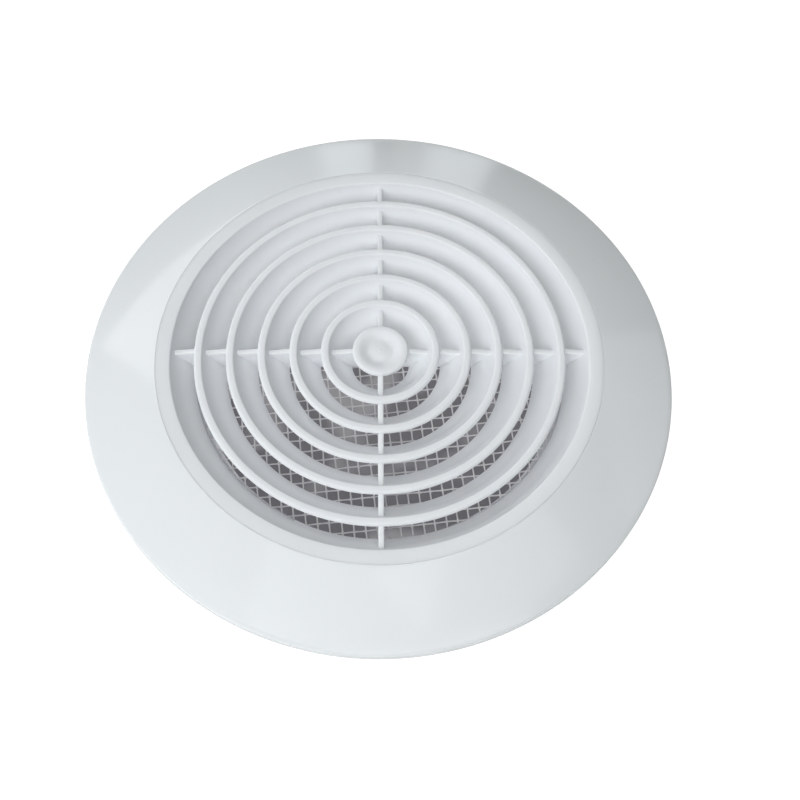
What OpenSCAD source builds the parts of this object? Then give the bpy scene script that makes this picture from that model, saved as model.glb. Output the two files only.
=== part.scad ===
// Round ceiling air diffuser: glossy flange with a cup and a duct spigot,
// a lift-out louvre core with an insect screen, and three sprung legs that
// grip the back of the ceiling board.
// Origin: centre of the ceiling plane. +Z points out of the face, into the room,
// so "front" is +Z and "back" is -Z.

/* [Flange] */
// Outside diameter of the flange
flange_d = 200; // [198:1:204]
// Height of the turned-down rim above the ceiling
rim_h = 3.3; // [3.1:0.1:3.8]
// Height of the face plane above the front of the rim
face_rise = 10.1; // [9.8:0.1:10.6]
// Wall thickness of the flange
flange_t = 2.2; // [2:0.1:2.4]
// Number of stiffening ribs behind the flange
rib_count = 12; // [6:3:18]

/* [Louvre core] */
// Outer radius of the flat band round the louvres
band_r = 74.7; // [74.5:0.1:75]
// Width of the flat band
band_w = 4.95; // [4.6:0.05:5.2]
// Outer radius of the innermost ring blade
ring_r = 20; // [19.6:0.1:20.4]
// Radial pitch of the ring blades
ring_pitch = 10.54; // [10.4:0.02:10.6]
// Number of ring blades
ring_count = 5; // [4:1:5]
// Radius of the central hub
hub_r = 9.4; // [8.8:0.1:10]
// Width of the front lip of each blade
lip_w = 2.8; // [2.5:0.1:3]
// Depth of the blades behind the face plane
blade_depth = 10.4; // [10:0.1:10.4]
// Thickness of the cross arms
spoke_t = 1.8; // [1.4:0.1:2.4]
// Step of the cross arms behind the face plane, at the inner end of each bay
spoke_drop = 0.8; // [0.6:0.1:1.2]
// Further fall of a cross arm towards the outer end of each bay
spoke_fall = 1.2; // [0.6:0.1:1.4]

/* [Insect screen] */
// Spacing of the net's strands
net_pitch = 3.7; // [3.5:0.1:5]
// Width of one strand
net_w = 0.5; // [0.4:0.05:0.7]
// Angle of the net to the cross arms
net_angle = 6; // [0:1:45]

/* [Spigot] */
// Outside diameter of the duct spigot
spigot_d = 124.6; // [124.4:0.1:124.8]
// Depth of the spigot behind the ceiling plane
spigot_len = 38; // [38:1:50]
// Wall thickness of the spigot
spigot_t = 1.5; // [1.4:0.1:1.6]

/* [Spring legs] */
// Length of a leg arm from its pivot to the middle of its foot
arm_len = 20.5; // [20.3:0.1:20.6]
// Thickness of a leg arm
arm_t = 2.4; // [2:0.1:2.6]
// Radius of the pivot pins
pin_r = 1.5; // [1.4:0.05:1.6]
// Number of turns in a torsion spring
spring_turns = 4; // [3:1:5]

/* [Hidden] */

$fn = 96;
round_fn = 180;                    // facets of the large turned parts

flange_r = flange_d / 2;
face_z = rim_h + face_rise;        // face plane
blade_back = face_z - blade_depth;
spigot_r = spigot_d / 2;
spigot_bore = spigot_r - spigot_t;

// Cup that holds the core
cup_r = band_r + 0.15;             // bore
cup_out = cup_r + 2.05;
shelf_z = 0.1;                     // front of the cup's floor
shelf_back = shelf_z - 2.2;

// Gasket groove behind the rim
groove_wall_in = flange_r - 10.2;
groove_in = flange_r - 8.7;
groove_out = flange_r - 1.8;
groove_z = 2;                      // bottom of the groove
groove_wall_z = 0.3;               // back of the groove's inner wall

// Duct seal and its groove
seal_z = -19;
seal_groove_depth = 0.9;
seal_groove_half = 1.6;

// Leg positions and bracket mounts
leg_angles = [90, 210, 330];
pivot_r = 70;
pivot_z = -14;
screw_x = -0.6;                    // radial place of the screws from the pivot
boss_y = 8.8;
boss_h = 4.1;
plate_t = 1.6;
plate_top = shelf_back - boss_h;   // front of the bracket plate
plate_bot = plate_top - plate_t;   // back of the bracket plate
plate_z = plate_bot - pivot_z;     // the same, from the pivot

// ---------- helpers ----------

// quadratic Bezier curve, in one coordinate
function bezier(t, a, b, c) = (1 - t) * (1 - t) * a + 2 * t * (1 - t) * b + t * t * c;

function arc(cx, cy, radius, start, end, steps) =
  [for (i = [0 : steps]) let (angle = start + (end - start) * i / steps)
    [cx + radius * cos(angle), cy + radius * sin(angle)]];

// place a child at each bracket screw's axis, at height z
module at_screws(z)
  for (angle = leg_angles) rotate([0, 0, angle])
    for (side = [-1, 1]) translate([pivot_r + screw_x, side * boss_y, z]) children();

// a leg's local frame: x outward, y tangential, z towards the room, origin on the pivot
module at_pivot(leg) rotate([0, 0, leg_angles[leg]]) translate([pivot_r, 0, pivot_z]) children();

// the same frame tilted so that x runs along the arm
module at_arm(leg) at_pivot(leg) rotate([0, -rest_angle, 0]) children();

module tangent_cyl(radius, y_from, y_to)
  translate([0, y_from, 0]) rotate([-90, 0, 0]) cylinder(r = radius, h = y_to - y_from, $fn = 48);

// box along x, centred in y and z
module arm_box(x_from, x_to, width, height)
  translate([x_from, -width / 2, -height / 2]) cube([x_to - x_from, width, height]);

// ---------- flange ----------

// crowned cone of the flange: its slope grows from tan 18 degrees towards the rim
inner_slope = tan(18);
crown_run = flange_r - 0.7 - cup_r;
crown = (face_rise - 0.3 - inner_slope * crown_run) / pow(crown_run, 2);
function front_z(r) = face_z - inner_slope * (r - cup_r) - crown * pow(r - cup_r, 2);

// columns: radius, z
module flange_profile() {
  front_run = flange_r - 1.6 - cup_r;
  back_start = cup_out + 0.8;
  back_run = groove_wall_in - back_start;
  polygon(concat(
    // bore and front face
    [[cup_r, shelf_z], [cup_r, face_z - 0.3], [cup_r + 0.25, face_z - 0.02]],
    [for (i = [1 : 10]) let (r = cup_r + front_run * i / 10) [r, front_z(r)]],
    // rounded rim
    [[flange_r - 0.95, rim_h + 0.12], [flange_r - 0.4, rim_h - 0.25],
     [flange_r - 0.08, rim_h - 0.85], [flange_r, rim_h - 1.5],
     [flange_r, 0.25], [flange_r - 0.25, 0]],
    // gasket groove
    [[groove_out, 0], [groove_out, groove_z], [groove_in, groove_z],
     [groove_in, groove_wall_z], [groove_wall_in, groove_wall_z],
     [groove_wall_in, front_z(groove_wall_in) - flange_t]],
    // back of the cone, inwards
    [for (i = [9 : -1 : 1]) let (r = back_start + back_run * i / 10) [r, front_z(r) - flange_t]],
    // outside of the cup
    [[cup_out, front_z(cup_out) - flange_t - 0.8], [cup_out, shelf_back + 0.6],
     [cup_out - 0.6, shelf_back], [spigot_r + 0.8, shelf_back], [spigot_r, shelf_back - 0.8]],
    // seal groove
    [[spigot_r, seal_z + seal_groove_half],
     [spigot_r - seal_groove_depth, seal_z + seal_groove_half],
     [spigot_r - seal_groove_depth, seal_z - seal_groove_half],
     [spigot_r, seal_z - seal_groove_half]],
    // spigot end and bore
    [[spigot_r, -spigot_len + 1], [spigot_r - 0.6, -spigot_len], [spigot_bore, -spigot_len],
     [spigot_bore, shelf_z - 2.9], [spigot_bore + 1.25, shelf_z]]
  ));
}

// ribs between the cup wall and the gasket groove's inner wall
module flange_ribs() {
  rib_t = 1.4;
  rib_in = cup_r + 1;
  rib_out = flange_r - 9;
  rib_back = 1.2;
  intersection() {
    rotate_extrude() polygon([[rib_in, rib_back], [rib_out, rib_back],
      [rib_out, front_z(rib_out) - 1], [rib_in, front_z(rib_in) - 1.2]]);
    for (i = [0 : rib_count - 1]) rotate([0, 0, (i + 0.5) * 360 / rib_count])
      translate([rib_in, -rib_t / 2, 0]) cube([rib_out - rib_in, rib_t, 12]);
  }
}

module flange_frame() color("white") difference() {
  union() {
    rotate_extrude($fn = round_fn) flange_profile();
    flange_ribs();
    // bosses behind the cup floor for the bracket screws
    at_screws(plate_top) cylinder(r = 3, h = boss_h + 0.5);
  }
  at_screws(plate_top - 1) cylinder(r = 1.45, h = boss_h + 2.1);
}

// ---------- louvre core ----------

wall_index = 5;                    // the core's wall stands where a sixth blade would
lip_round = 0.6;                   // rounding of a blade lip's inner edge

function lip_r(i) = ring_r + ring_pitch * i;

// radius of the rear edge of blade i, a little outside the lip of the blade within it
function rear_r(i) = lip_r(i - 1) + 0.1 + 0.11 * i;

// inner face of blade i, whose lip has the given outer radius, from front to back
function inner_face(outer, i) = let (inner = outer - lip_w) concat(
  arc(inner + lip_round, face_z - lip_round, lip_round, 90, 180, 3),
  [for (j = [1 : 6]) let (t = j / 6)
    [bezier(t, inner, inner - 3.3, rear_r(i)),
     face_z + bezier(t, -lip_round, -0.55 * blade_depth, -blade_depth)]]);

module blade(i) rotate_extrude() polygon(concat(
  arc(lip_r(i) - 1, face_z - 1, 1, 0, 90, 4),
  inner_face(lip_r(i), i),
  [[rear_r(i) + 2.4, blade_back], [lip_r(i) - 1.25, face_z - 2.7]]
));

// flat band, with a blade-shaped inner face and a cylindrical skirt behind it
module core_wall() {
  seat_r = 66.6;                   // outside of the screen's seat
  skirt_in = 72.9;
  band_back = face_z - 2.3;
  rotate_extrude($fn = round_fn) polygon(concat(
    [[band_r, face_z - 0.3], [band_r - 0.3, face_z]],
    inner_face(band_r - band_w + lip_w, wall_index),
    [[seat_r, blade_back], [seat_r, blade_back + 1.6], [71.3, band_back], [skirt_in, band_back],
     [skirt_in, shelf_z + 0.05], [band_r - 0.5, shelf_z + 0.05], [band_r, shelf_z + 0.6]]
  ));
}

// dished disc; columns: radius, z from the face plane
module hub() rotate_extrude() translate([0, face_z]) polygon(concat(
  [[0, -2.9], [7.6, -2.9]],
  arc(hub_r - 0.9, -0.9, 0.9, 0, 90, 4),
  [[7.1, 0], [6.7, -0.08], [6.1, -0.42], [5.4, -0.82], [4.8, -1.05], [4.1, -1.14],
   [3, -1.05], [1.6, -0.92], [0.7, -0.86], [0.5, -0.72], [0, -0.68]]
));

// front edge of one cross arm, from the hub outwards: it falls from each ring to the next
spoke_edge = concat(
  [[hub_r - 2.2, face_z - 2.2]],
  [for (i = [0 : ring_count]) let (
    bay_in = i == 0 ? hub_r - 0.9 : lip_r(i - 1) - 1,
    bay_out = i < ring_count ? lip_r(i) - lip_w : band_r - band_w - 0.15)
    each [[bay_in, face_z - spoke_drop], [bay_out, face_z - spoke_drop - spoke_fall]]]);

// two opposite cross arms in one piece
module cross_bar() {
  back_r = rear_r(wall_index) + 1;
  rotate([90, 0, 0]) linear_extrude(spoke_t, center = true) polygon(concat(
    spoke_edge,
    [[back_r, blade_back], [-back_r, blade_back]],
    [for (i = [len(spoke_edge) - 1 : -1 : 0]) [-spoke_edge[i][0], spoke_edge[i][1]]]));
}

module louvre_core() color("whitesmoke") difference() {
  union() {
    core_wall();
    for (i = [0 : ring_count - 1]) blade(i);
    hub();
    for (angle = [0, 90]) rotate([0, 0, angle]) cross_bar();
  }
  // pairs of slots that free six spring tongues in the skirt
  for (i = [0 : 5]) rotate([0, 0, 60 * i + 15])
    for (side = [-1, 1]) rotate([0, 0, side * 4.5])
      translate([72, -0.4, shelf_z - 1]) cube([4, 0.8, 6]);
}

// ---------- screen, gasket and seal ----------

// two layers of crossed strands, trimmed to a circle
module insect_screen() color("lightgray") {
  screen_r = 66.3;
  strand_t = 0.24;
  front_layer = blade_back - 0.06 - strand_t;
  back_layer = front_layer - 0.26;
  count = floor(screen_r / net_pitch);
  rotate([0, 0, net_angle])
    for (i = [-count : count])
      let (y = i * net_pitch,
           half = sqrt(screen_r * screen_r - pow(abs(y) + net_w / 2, 2))) {
        translate([-half, y - net_w / 2, front_layer]) cube([2 * half, net_w, strand_t]);
        translate([y - net_w / 2, -half, back_layer]) cube([net_w, 2 * half, strand_t]);
      }
}

// columns: radius, z from the back of the blades
module screen_clamp_ring() color("white")
  rotate_extrude($fn = round_fn) translate([0, blade_back]) polygon([
    [63.2, -2.5], [63.2, -0.8], [63.5, -0.58], [66.7, -0.58], [66.7, 1.2],
    [67, 1.5], [68.2, 1.5], [68.2, -2.2], [67.9, -2.5]]);

module ceiling_gasket() color("dimgray") {
  inner = groove_in + 0.2;
  outer = groove_out - 0.2;
  rotate_extrude($fn = round_fn) polygon([
    [inner, 0.3], [inner, groove_z], [outer, groove_z],
    [outer, 0.3], [outer - 0.3, 0], [inner + 0.3, 0]]);
}

// band with two lips; columns: offset from the spigot's outside, z from the seal's middle
module duct_seal() color("dimgray")
  rotate_extrude($fn = round_fn) translate([spigot_r, seal_z]) polygon([
    [-seal_groove_depth, -1.5], [-seal_groove_depth, 1.5], [0.1, 1.5],
    [0.2, 0.95], [1.1, 1.55], [1.2, 1.25], [0.35, 0.5],
    [0.2, -0.4], [1.1, 0.2], [1.2, -0.1], [0.35, -0.85], [0.1, -1.5]]);

// ---------- spring legs ----------

rest_angle = 23.8;                 // arm's rise towards the flange at rest
foot_r = 2.7;
foot_w = 10.2;
arm_w = 8.4;
arm_tip = arm_len - 0.4;
arm_rib_w = 1.2;
arm_rib_h = arm_t + 1.8;
arm_rib_end = arm_len - 4;
clip_from = 6.1;                   // the clip's two faces, along the pin
clip_to = 6.7;

module bracket_ear(side) {
  ear_in = 4.35;
  ear_t = 1.6;
  ear_r = 3.4;
  y_from = side > 0 ? ear_in : -ear_in - ear_t;
  translate([-ear_r, y_from, 0]) cube([2 * ear_r, ear_t, plate_z + 0.2]);
  tangent_cyl(ear_r, y_from, y_from + ear_t);
}

module leg_bracket(leg) color("silver") at_pivot(leg) difference() {
  union() {
    translate([-5.1, -12.2, plate_z]) cube([9.2, 24.4, plate_t]);
    for (side = [-1, 1]) bracket_ear(side);
  }
  tangent_cyl(pin_r + 0.03, -8, 8);
  for (side = [-1, 1])
    translate([screw_x, side * boss_y, plate_z - 1]) cylinder(r = 1.6, h = plate_t + 2);
}

// ribbed beam with two knuckles round the pivot
module leg_arm(leg) color("gainsboro") at_arm(leg) {
  knuckle_r = 3.2;
  knuckle_in = 2.45;
  knuckle_out = arm_w / 2;
  difference() {
    union() {
      tangent_cyl(knuckle_r, -knuckle_out, -knuckle_in);
      tangent_cyl(knuckle_r, knuckle_in, knuckle_out);
      arm_box(0, arm_tip, arm_w, arm_t);
      arm_box(4.6, arm_rib_end, arm_rib_w, arm_rib_h);
    }
    arm_box(-4, 4, 2 * knuckle_in, 8);
    tangent_cyl(pin_r + 0.06, -8, 8);
    // hole for the hooked end of the spring
    translate([hook_x, coil_y, -3]) cylinder(r = 0.55, h = 6, $fn = 32);
  }
}

// round-ended foot with a socket for the arm and its ribs
module leg_foot(leg) color("darkslategray") at_arm(leg) difference() {
  union() {
    translate([arm_len, 0, 0]) tangent_cyl(foot_r, -foot_w / 2, foot_w / 2);
    arm_box(arm_len - 4, arm_len, foot_w, 2 * foot_r - 0.6);
  }
  arm_box(arm_len - 6, arm_tip, arm_w, arm_t);
  arm_box(arm_len - 6, arm_rib_end, arm_rib_w, arm_rib_h);
}

module leg_pivot_pin(leg) color("silver") at_pivot(leg) difference() {
  union() {
    tangent_cyl(pin_r, -6.6, 7.5);
    tangent_cyl(2.5, -7.1, -6);
  }
  // groove for the clip
  difference() {
    tangent_cyl(pin_r + 1, clip_from - 0.05, clip_to + 0.05);
    tangent_cyl(pin_r - 0.35, clip_from - 0.1, clip_to + 0.1);
  }
}

// Torsion spring: one end bears on the bracket plate, the coil winds round the
// pin, and the other end runs along the arm and hooks through its hole.
wire_r = 0.4;
wire_sides = 6;
coil_r = 2.4;
coil_y = 1.85;                     // half the coil's length
hook_x = 10.6;                     // place of the hook along the arm
bend_r = 0.8;
coil_angle = 360 * spring_turns - 90 - rest_angle;
coil_steps = 16 * spring_turns;

function on_coil(i) = let (angle = -coil_angle * i / coil_steps)
  [coil_r * cos(angle), -coil_y + 2 * coil_y * i / coil_steps, coil_r * sin(angle), angle];

// station at a distance along the arm and a height above its middle
function on_arm(along, above, normal) =
  [along * cos(rest_angle) - above * sin(rest_angle), coil_y,
   along * sin(rest_angle) + above * cos(rest_angle), normal];

// stations of the wire; columns: x, y, z, angle of the outward normal
wire_path = concat(
  [[coil_r, -coil_y, plate_z - wire_r, 0]],
  [for (i = [0 : coil_steps]) on_coil(i)],
  [for (i = [0 : 4]) let (turn = 90 * i / 4)
    on_arm(hook_x - bend_r + bend_r * sin(turn), coil_r - bend_r + bend_r * cos(turn),
      rest_angle + 90 - turn)],
  [on_arm(hook_x, -arm_t / 2 - 0.6, rest_angle)]);

module leg_spring(leg) color("dimgray") at_pivot(leg) {
  last = len(wire_path) - 1;
  polyhedron(
    points = [for (p = wire_path) for (j = [0 : wire_sides - 1])
      let (angle = 360 / wire_sides * j, out = wire_r * cos(angle))
      [p[0] + out * cos(p[3]), p[1] + wire_r * sin(angle), p[2] + out * sin(p[3])]],
    faces = concat(
      [[for (j = [0 : wire_sides - 1]) j]],
      [[for (j = [wire_sides - 1 : -1 : 0]) last * wire_sides + j]],
      [for (i = [0 : last - 1]) for (j = [0 : wire_sides - 1])
        let (here = i * wire_sides + j, next = i * wire_sides + (j + 1) % wire_sides)
        each [[here, next + wire_sides, next],
              [here, here + wire_sides, next + wire_sides]]]));
}

// ring clips on the pins, each open on its back side
module pivot_pin_clips() color("gray") for (leg = [0 : 2]) at_pivot(leg) difference() {
  tangent_cyl(3.1, clip_from, clip_to);
  tangent_cyl(pin_r - 0.33, clip_from - 0.1, clip_to + 0.1);
  translate([-0.9, 5, -4]) cube([1.8, 3, 4]);
}

// cross-slotted screw, its head behind z = 0 and its tip to the front
module bracket_screw() {
  head_r = 2.8;
  shank_r = 1.4;
  shank_len = plate_t + 4.2;
  difference() {
    union() {
      translate([0, 0, -1.9]) cylinder(r1 = 2.2, r2 = head_r, h = 0.7);
      translate([0, 0, -1.2]) cylinder(r = head_r, h = 1.2);
      cylinder(r = shank_r, h = shank_len);
      translate([0, 0, shank_len]) cylinder(r1 = shank_r, r2 = 0.5, h = 0.7);
    }
    for (angle = [0, 90]) rotate([0, 0, angle]) translate([-1.5, -0.3, -2]) cube([3, 0.6, 1.3]);
  }
}

module bracket_screws() color("gray") at_screws(plate_bot - 0.02) bracket_screw();

flange_frame();
louvre_core();
insect_screen();
screen_clamp_ring();
ceiling_gasket();
duct_seal();
leg_bracket(0);  // leg_1_bracket
leg_arm(0);  // leg_1_arm
leg_pivot_pin(0);  // leg_1_pivot_pin
leg_spring(0);  // leg_1_spring
leg_foot(0);  // leg_1_foot
leg_bracket(1);  // leg_2_bracket
leg_arm(1);  // leg_2_arm
leg_pivot_pin(1);  // leg_2_pivot_pin
leg_spring(1);  // leg_2_spring
leg_foot(1);  // leg_2_foot
leg_bracket(2);  // leg_3_bracket
leg_arm(2);  // leg_3_arm
leg_pivot_pin(2);  // leg_3_pivot_pin
leg_spring(2);  // leg_3_spring
leg_foot(2);  // leg_3_foot
pivot_pin_clips();
bracket_screws();
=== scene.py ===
# Round ceiling vent, lying face up: a glossy flange, a core of ring louvres with an insect net
# behind it, and three sprung legs. Z is the axis of the rings. The face looks along +Z, the rim of
# the flange stands on z = 0, and the spigot and legs hang below, towards -Z.
import bpy
import bmesh
import math
import random
import numpy as np
from mathutils import Vector, Matrix


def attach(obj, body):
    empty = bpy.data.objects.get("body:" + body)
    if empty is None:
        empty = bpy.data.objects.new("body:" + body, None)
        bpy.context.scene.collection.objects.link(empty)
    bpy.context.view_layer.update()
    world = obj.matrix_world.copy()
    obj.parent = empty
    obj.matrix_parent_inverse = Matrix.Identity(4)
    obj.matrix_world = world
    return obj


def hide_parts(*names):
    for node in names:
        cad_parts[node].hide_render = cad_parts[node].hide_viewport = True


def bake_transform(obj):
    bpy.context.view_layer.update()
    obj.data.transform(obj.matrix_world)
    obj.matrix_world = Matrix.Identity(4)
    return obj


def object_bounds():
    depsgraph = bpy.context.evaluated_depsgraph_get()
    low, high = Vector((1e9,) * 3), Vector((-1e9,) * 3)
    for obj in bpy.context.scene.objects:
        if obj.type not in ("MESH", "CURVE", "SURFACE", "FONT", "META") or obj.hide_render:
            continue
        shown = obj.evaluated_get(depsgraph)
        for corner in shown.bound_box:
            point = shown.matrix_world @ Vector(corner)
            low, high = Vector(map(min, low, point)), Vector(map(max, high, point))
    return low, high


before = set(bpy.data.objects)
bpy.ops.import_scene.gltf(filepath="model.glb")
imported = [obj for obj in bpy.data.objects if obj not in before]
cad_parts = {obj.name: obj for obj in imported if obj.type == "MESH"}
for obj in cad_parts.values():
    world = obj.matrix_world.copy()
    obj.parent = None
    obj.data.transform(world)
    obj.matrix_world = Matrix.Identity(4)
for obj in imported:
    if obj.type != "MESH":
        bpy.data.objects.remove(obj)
cad_lo, cad_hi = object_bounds()
random.seed(11)
rng = np.random.default_rng(11)
MM = 0.001      # metres in a millimetre

# ---------------------------------------------------------------- shared dimensions (mm)

# flange
RIM_R = 100.0
RIM_H = 3.3
FACE_Z = 13.4               # front plane of the core and the inner edge of the flange
FLANGE_T = 2.2
BAND_R = 74.7               # outer edge of the core
BAND_W = 4.95
CUP_R = BAND_R + 0.15       # cup that holds the core
CUP_OUT = CUP_R + 2.05
SHELF_Z = 0.1               # shelf under the core: top and underside
SHELF_BACK = -2.1
LAND_Z = 2.0                # seat of the ceiling gasket
# spigot
SPIGOT_R = 62.3
SPIGOT_RI = 60.8
SPIGOT_LEN = 38.0
SEAL_Z = -19.0
# core
RING_R = 20.0               # front edge of the smallest louvre
RING_PITCH = 10.54
RING_COUNT = 5
LIP_W = 2.8
CORE_DEPTH = 10.4
CORE_BACK = FACE_Z - CORE_DEPTH
# legs
LEG_ANGLES = [math.radians(a) for a in (90, 210, 330)]
PIVOT_R = 70.0
PIVOT_Z = -14.0
REST_ANGLE = math.radians(23.8)
ARM_LEN = 20.5
ARM_T = 2.4
FOOT_R = 2.7
BOSS_H = 4.1
PLATE_TOP = SHELF_BACK - BOSS_H
PLATE_T = 1.6
PLATE_BOTTOM = PLATE_TOP - PLATE_T


# ---------------------------------------------------------------- outlines and mesh parts
# A "part" is a pair: vertices in mm, faces.

def rounded(points, steps=5):
    """Closed polygon from (x, z) or (x, z, fillet radius); steps per quarter turn of fillet."""
    out = []
    for i, point in enumerate(points):
        radius = point[2] if len(point) > 2 else 0.0
        corner = np.array(point[:2], float)
        back = np.array(points[i - 1][:2], float) - corner
        ahead = np.array(points[(i + 1) % len(points)][:2], float) - corner
        if radius <= 0:
            out.append((corner[0], corner[1]))
            continue
        back_len, ahead_len = np.linalg.norm(back), np.linalg.norm(ahead)
        back, ahead = back / back_len, ahead / ahead_len
        angle = math.acos(max(-1, min(1, float(back @ ahead))))
        if angle > math.radians(176):       # all but straight
            out.append((corner[0], corner[1]))
            continue
        reach = min(radius / math.tan(angle / 2), back_len * 0.49, ahead_len * 0.49)
        radius = reach * math.tan(angle / 2)
        middle = (back + ahead) / np.linalg.norm(back + ahead)
        centre = corner + middle * (radius / math.sin(angle / 2))
        start = corner + back * reach - centre
        end = corner + ahead * reach - centre
        first = math.atan2(start[1], start[0])
        sweep = (math.atan2(end[1], end[0]) - first + math.pi) % (2 * math.pi) - math.pi
        count = max(2, int(math.ceil(abs(sweep) / math.radians(90) * steps)))
        for j in range(count + 1):
            a = first + sweep * j / count
            out.append((centre[0] + radius * math.cos(a), centre[1] + radius * math.sin(a)))
    clean = []
    for p in out:
        if not clean or math.hypot(p[0] - clean[-1][0], p[1] - clean[-1][1]) > 1e-4:
            clean.append(p)
    if math.hypot(clean[0][0] - clean[-1][0], clean[0][1] - clean[-1][1]) < 1e-4:
        clean.pop()
    return clean


def arc(x, z, radius, start, end, steps):
    """Points of an arc, angles in degrees."""
    angles = [math.radians(start + (end - start) * i / steps) for i in range(steps + 1)]
    return [(x + radius * math.cos(a), z + radius * math.sin(a)) for a in angles]


def counter_clockwise(poly):
    doubled_area = sum(poly[i - 1][0] * poly[i][1] - poly[i][0] * poly[i - 1][1]
                       for i in range(len(poly)))
    return poly[::-1] if doubled_area < 0 else poly


def lathe(poly, seg):
    """Revolves a closed (r, z) polygon about Z. Points on the axis become poles."""
    verts, faces, rows = [], [], []
    for r, z in counter_clockwise(poly):
        if r < 1e-6:
            rows.append([len(verts)])
            verts.append((0, 0, z))
            continue
        rows.append(list(range(len(verts), len(verts) + seg)))
        for k in range(seg):
            a = 2 * math.pi * k / seg
            verts.append((r * math.cos(a), r * math.sin(a), z))
    for i, row in enumerate(rows):
        after = rows[(i + 1) % len(rows)]
        if len(row) == 1 and len(after) == 1:
            continue
        for k in range(seg):
            k2 = (k + 1) % seg
            if len(row) == 1:
                faces.append((after[k2], after[k], row[0]))
            elif len(after) == 1:
                faces.append((row[k2], after[0], row[k]))
            else:
                faces.append((row[k2], after[k2], after[k], row[k]))
    return verts, faces


def skin(sections, n):
    """Faces over a run of sections with n vertices each, capped at both ends."""
    total = sections * n
    faces = [tuple(range(n)), tuple(range(total - 1, total - n - 1, -1))]
    for base in range(0, total - n, n):
        for i in range(n):
            j = (i + 1) % n
            faces.append((base + j, base + i, base + n + i, base + n + j))
    return faces


def prism(poly, y0, y1):
    """Extrudes an (x, z) polygon along Y."""
    poly = counter_clockwise(poly)
    return [(x, y, z) for y in (y0, y1) for x, z in poly], skin(2, len(poly))


def box(x0, x1, y, z0, z1):
    """Block reaching y to either side of the XZ plane."""
    return prism([(x0, z0), (x1, z0), (x1, z1), (x0, z1)], -y, y)


def cylinder(radius, z0, z1, seg, x, y):
    angles = [2 * math.pi * k / seg for k in range(seg)]
    verts = [(x + radius * math.cos(a), y + radius * math.sin(a), z)
             for z in (z0, z1) for a in angles]
    faces = [tuple(range(seg - 1, -1, -1)), tuple(range(seg, 2 * seg))]
    for k in range(seg):
        j = (k + 1) % seg
        faces.append((k, j, seg + j, seg + k))
    return verts, faces


def merged(parts):
    verts, faces = [], []
    for part_verts, part_faces in parts:
        base = len(verts)
        verts += part_verts
        faces += [tuple(i + base for i in face) for face in part_faces]
    return verts, faces


def moved(part, matrix):
    verts, faces = part
    return [tuple(matrix @ Vector(v)) for v in verts], faces


def about_z(angle):
    return Matrix.Rotation(angle, 3, "Z")


# ---------------------------------------------------------------- objects

def shade(ob, sharp):
    """Smooth shading, with edges over `sharp` degrees kept sharp."""
    ob.data.polygons.foreach_set("use_smooth", [True] * len(ob.data.polygons))
    if sharp:
        ob.data.set_sharp_from_angle(angle=math.radians(sharp))
    ob.data.update()


def new_object(name, part, sharp=32.0):
    verts, faces = part
    mesh = bpy.data.meshes.new(name)
    mesh.from_pydata([tuple(float(c) * MM for c in v) for v in verts], [], faces)
    mesh.validate()
    mesh.update()
    ob = bpy.data.objects.new(name, mesh)
    bpy.context.scene.collection.objects.link(ob)
    shade(ob, sharp)
    return ob


def edit(ob, work):
    """Runs work(bm) on the object's mesh."""
    bm = bmesh.new()
    bm.from_mesh(ob.data)
    work(bm)
    bm.to_mesh(ob.data)
    bm.free()
    ob.data.update()


def fix_normals(ob):
    edit(ob, lambda bm: bmesh.ops.recalc_face_normals(bm, faces=bm.faces))


def tidy(ob, gap=0.004):
    """Joins vertices closer than gap (mm) and drops degenerate edges."""
    def work(bm):
        bmesh.ops.remove_doubles(bm, verts=bm.verts, dist=gap * MM)
        bmesh.ops.dissolve_degenerate(bm, edges=bm.edges, dist=0.001 * MM)
    edit(ob, work)


def boolean(ob, tool, operation):
    """Applies an exact boolean and removes the tool."""
    fix_normals(ob)
    fix_normals(tool)
    modifier = ob.modifiers.new("boolean", "BOOLEAN")
    modifier.operation = operation
    modifier.solver = "EXACT"
    modifier.use_self = False
    modifier.object = tool
    depsgraph = bpy.context.evaluated_depsgraph_get()
    depsgraph.update()
    result = bpy.data.meshes.new_from_object(ob.evaluated_get(depsgraph))
    ob.modifiers.clear()
    old = ob.data
    ob.data = result
    bpy.data.meshes.remove(old)
    bpy.data.objects.remove(tool)


def unite(ob, *parts):
    boolean(ob, new_object("tool", merged(parts)), "UNION")


def cut(ob, *parts):
    boolean(ob, new_object("tool", merged(parts)), "DIFFERENCE")


def give(ob, material):
    ob.data.materials.clear()
    ob.data.materials.append(material)


def register(ob, material, node, body=None):
    """Material, the CAD node it replaces and the body it moves with."""
    give(ob, material)
    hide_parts(node)
    if body:
        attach(ob, body)


# ---------------------------------------------------------------- shader graph

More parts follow.
